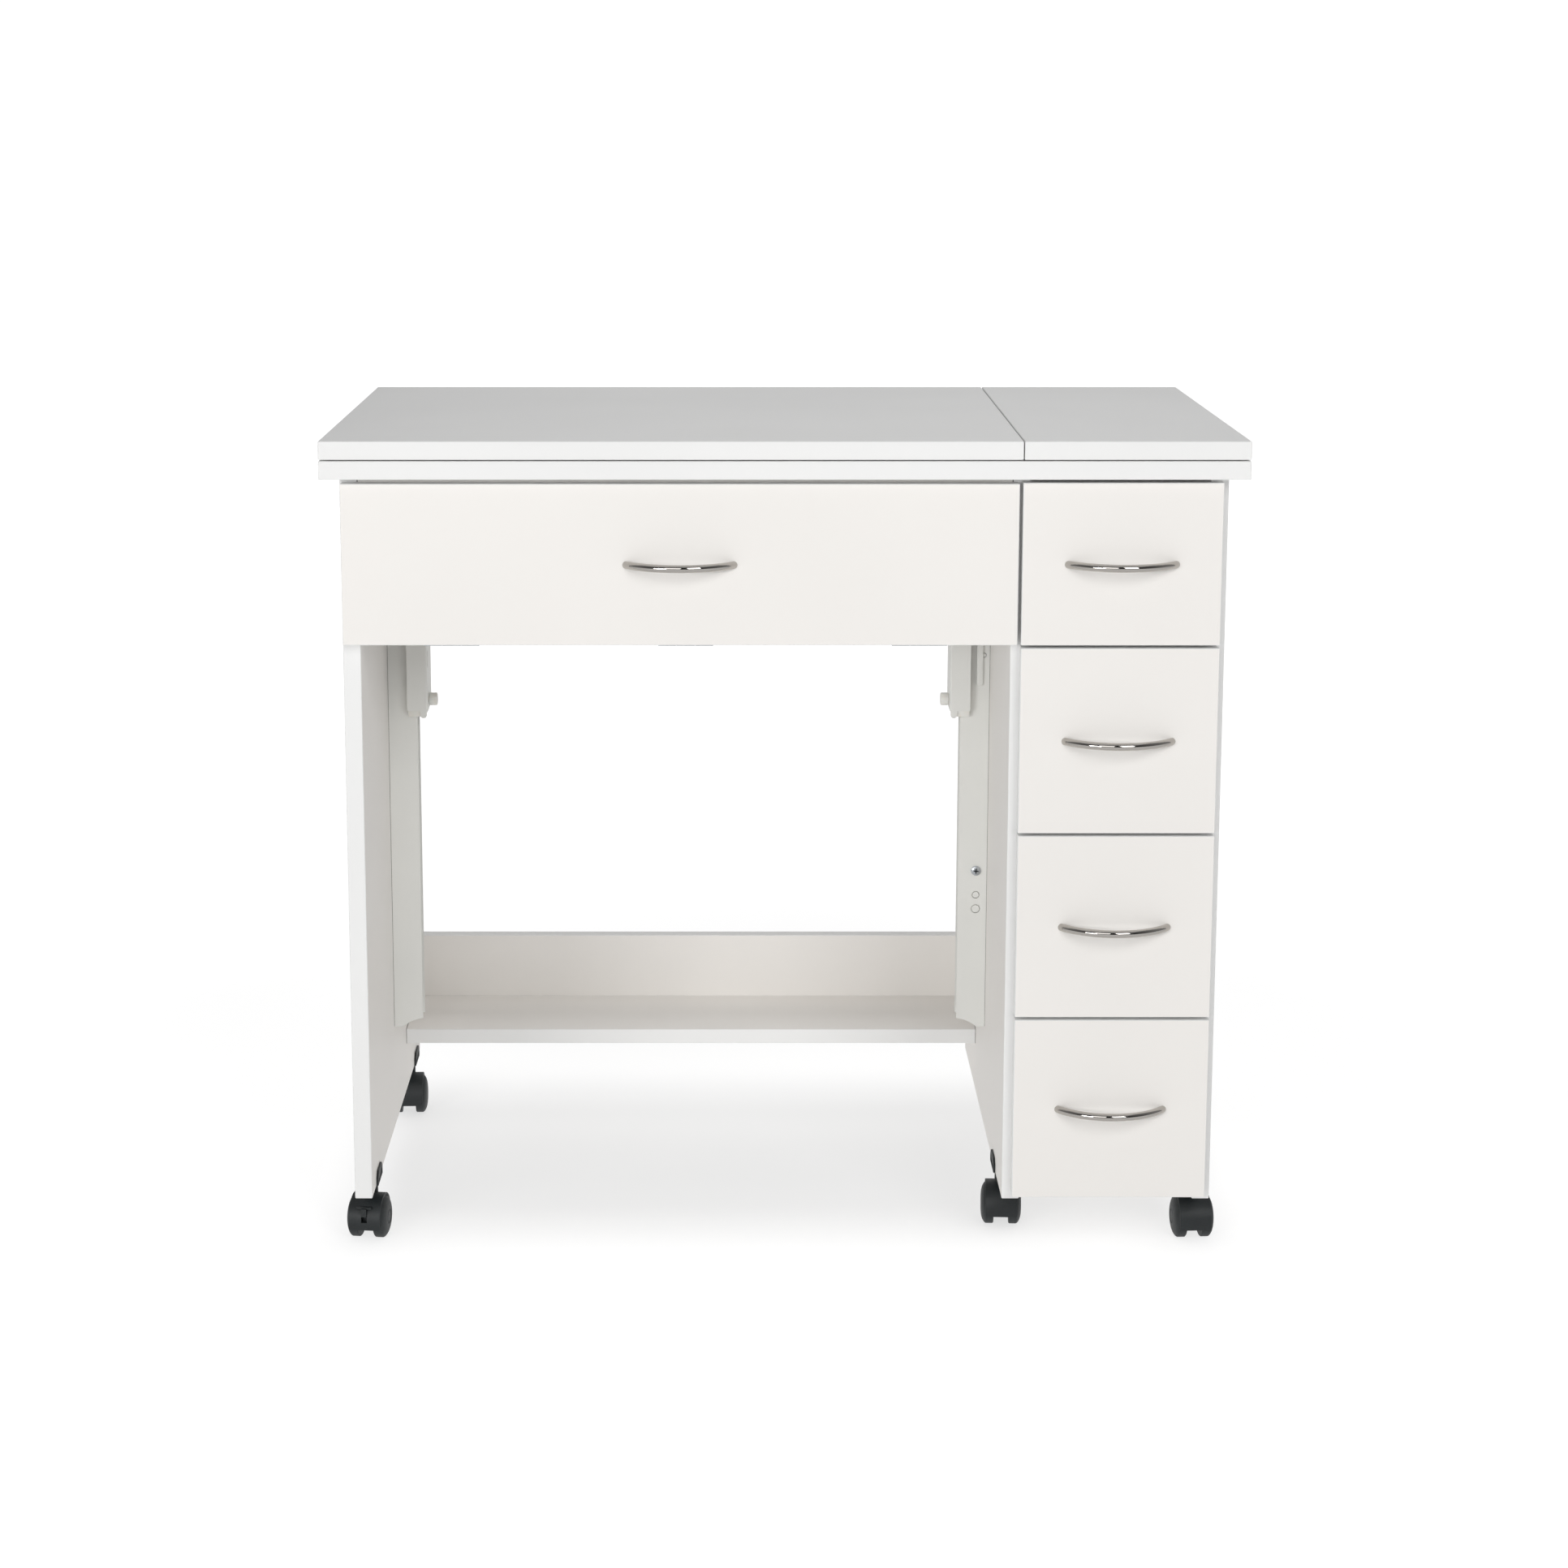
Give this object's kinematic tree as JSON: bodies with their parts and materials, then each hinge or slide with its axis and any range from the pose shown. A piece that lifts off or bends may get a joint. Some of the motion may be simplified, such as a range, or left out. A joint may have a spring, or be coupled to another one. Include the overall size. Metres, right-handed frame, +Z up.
{
  "type": "sewing cabinet",
  "caption": "Folding sewing and cutting table on casters: fold-out top leaves over a machine lift, drop front and drawer pedestal.",
  "frame": {"origin": "on the floor, below the middle of the closed cabinet's box", "axes": "+X along the closed top towards the drawer pedestal, +Y from the drop front towards the back, +Z up"},
  "size_m": [0.8308, 0.5129, 0.768],
  "materials": {
    "white_melamine": "satin white melamine on board",
    "white_steel": "white powder coat",
    "white_nylon": "natural moulded nylon",
    "black_nylon": "moulded black nylon",
    "zinc_steel": "bright zinc plate",
    "chrome_rod": "polished chrome"
  },
  "bodies": {
    "cabinet": {"left_side_panel": "white_melamine", "pedestal_inner_panel": "white_melamine", "pedestal_outer_panel": "white_melamine", "pedestal_bottom_panel": "white_melamine", "pedestal_back_panel": "white_melamine", "foot_shelf": "white_melamine", "shelf_back_rail": "white_melamine", "rear_top_rail": "white_melamine", "front_top_rail": "white_melamine", "front_hinge_rail": "white_melamine", "fixed_top": "white_melamine", "caster_sockets": "black_nylon", "fixed_top_hinge_plates": "zinc_steel", "hinge_rail_plates": "zinc_steel", "cabinet_drawer_runners": "zinc_steel", "left_lift_rail": "white_steel", "right_lift_rail": "white_steel", "lift_rail_screws": "zinc_steel"},
    "left_leaf": {"left_leaf_panel": "white_melamine", "left_leaf_hinge_plates": "zinc_steel"},
    "right_leaf": {"right_leaf_panel": "white_melamine", "right_leaf_hinge_plates": "zinc_steel"},
    "drop_front": {"drop_front_panel": "white_melamine", "drop_front_handle": "chrome_rod", "drop_front_hinge_plates": "zinc_steel"},
    "drawer_1": {"drawer_1_front": "white_melamine", "drawer_1_handle": "chrome_rod", "drawer_1_box": "white_melamine", "drawer_1_runners": "zinc_steel"},
    "drawer_2": {"drawer_2_front": "white_melamine", "drawer_2_handle": "chrome_rod", "drawer_2_box": "white_melamine", "drawer_2_runners": "zinc_steel"},
    "drawer_3": {"drawer_3_front": "white_melamine", "drawer_3_handle": "chrome_rod", "drawer_3_box": "white_melamine", "drawer_3_runners": "zinc_steel"},
    "drawer_4": {"drawer_4_front": "white_melamine", "drawer_4_handle": "chrome_rod", "drawer_4_box": "white_melamine", "drawer_4_runners": "zinc_steel"},
    "lift": {"lift_platform": "white_melamine", "left_lift_carriage": "white_steel", "right_lift_carriage": "white_steel", "lift_glides": "white_nylon"},
    "release_lever": {"release_lever": "white_steel"},
    "front_left_caster": {"front_left_caster_hood": "black_nylon"},
    "front_left_wheels": {"front_left_caster_wheels": "black_nylon"},
    "rear_left_caster": {"rear_left_caster_hood": "black_nylon"},
    "rear_left_wheels": {"rear_left_caster_wheels": "black_nylon"},
    "front_middle_caster": {"front_middle_caster_hood": "black_nylon"},
    "front_middle_wheels": {"front_middle_caster_wheels": "black_nylon"},
    "front_right_caster": {"front_right_caster_hood": "black_nylon"},
    "front_right_wheels": {"front_right_caster_wheels": "black_nylon"},
    "rear_right_caster": {"rear_right_caster_hood": "black_nylon"},
    "rear_right_wheels": {"rear_right_caster_wheels": "black_nylon"}
  },
  "joints": [
    {"name": "left_leaf_fold", "type": "hinge", "parent": "cabinet", "child": "left_leaf", "pos_m": [-0.4134, 0, 0.7509], "axis": [0, -1, 0], "range_deg": [0, 180]},
    {"name": "right_leaf_fold", "type": "hinge", "parent": "cabinet", "child": "right_leaf", "pos_m": [0.4134, 0, 0.7509], "axis": [0, 1, 0], "range_deg": [0, 180]},
    {"name": "drop_front_fold", "type": "hinge", "parent": "cabinet", "child": "drop_front", "pos_m": [-0.0885, -0.2112, 0.5813], "axis": [1, 0, 0], "range_deg": [0, 90]},
    {"name": "drawer_1_slide", "type": "slide", "parent": "cabinet", "child": "drawer_1", "axis": [0, -1, 0], "range_m": [0, 0.3]},
    {"name": "drawer_2_slide", "type": "slide", "parent": "cabinet", "child": "drawer_2", "axis": [0, -1, 0], "range_m": [0, 0.3]},
    {"name": "drawer_3_slide", "type": "slide", "parent": "cabinet", "child": "drawer_3", "axis": [0, -1, 0], "range_m": [0, 0.3]},
    {"name": "drawer_4_slide", "type": "slide", "parent": "cabinet", "child": "drawer_4", "axis": [0, -1, 0], "range_m": [0, 0.3]},
    {"name": "lift_travel", "type": "slide", "parent": "cabinet", "child": "lift", "axis": [0, 0, 1], "range_m": [-0.23, 0.08]},
    {"name": "release_lever_swing", "type": "hinge", "parent": "cabinet", "child": "release_lever", "pos_m": [0.1945, 0.00455, 0.575], "axis": [0, 1, 0], "range_deg": [0, 4], "stiffness_Nm_per_rad": 0.2},
    {"name": "front_left_swivel", "type": "hinge", "parent": "cabinet", "child": "front_left_caster", "pos_m": [-0.3895, -0.1469, 0], "axis": [0, 0, 1], "continuous": true},
    {"name": "front_left_roll", "type": "hinge", "parent": "front_left_caster", "child": "front_left_wheels", "pos_m": [-0.39089, -0.1568, 0.02], "axis": [0.9903, -0.1392, 0], "continuous": true},
    {"name": "rear_left_swivel", "type": "hinge", "parent": "cabinet", "child": "rear_left_caster", "pos_m": [-0.3895, 0.2231, 0], "axis": [0, 0, 1], "continuous": true},
    {"name": "rear_left_roll", "type": "hinge", "parent": "rear_left_caster", "child": "rear_left_wheels", "pos_m": [-0.38915, 0.21311, 0.02], "axis": [0.9994, 0.0349, 0], "continuous": true},
    {"name": "front_middle_swivel", "type": "hinge", "parent": "cabinet", "child": "front_middle_caster", "pos_m": [0.2125, -0.1109, 0], "axis": [0, 0, 1], "continuous": true},
    {"name": "front_middle_roll", "type": "hinge", "parent": "front_middle_caster", "child": "front_middle_wheels", "pos_m": [0.21198, -0.12089, 0.02], "axis": [0.9986, -0.0523, 0], "continuous": true},
    {"name": "front_right_swivel", "type": "hinge", "parent": "cabinet", "child": "front_right_caster", "pos_m": [0.3895, -0.1469, 0], "axis": [0, 0, 1], "continuous": true},
    {"name": "front_right_roll", "type": "hinge", "parent": "front_right_caster", "child": "front_right_wheels", "pos_m": [0.3902, -0.15688, 0.02], "axis": [0.9976, 0.0698, 0], "continuous": true},
    {"name": "rear_right_swivel", "type": "hinge", "parent": "cabinet", "child": "rear_right_caster", "pos_m": [0.3895, 0.2231, 0], "axis": [0, 0, 1], "continuous": true},
    {"name": "rear_right_roll", "type": "hinge", "parent": "rear_right_caster", "child": "rear_right_wheels", "pos_m": [0.38845, 0.21315, 0.02], "axis": [0.9945, -0.1045, 0], "continuous": true}
  ]
}
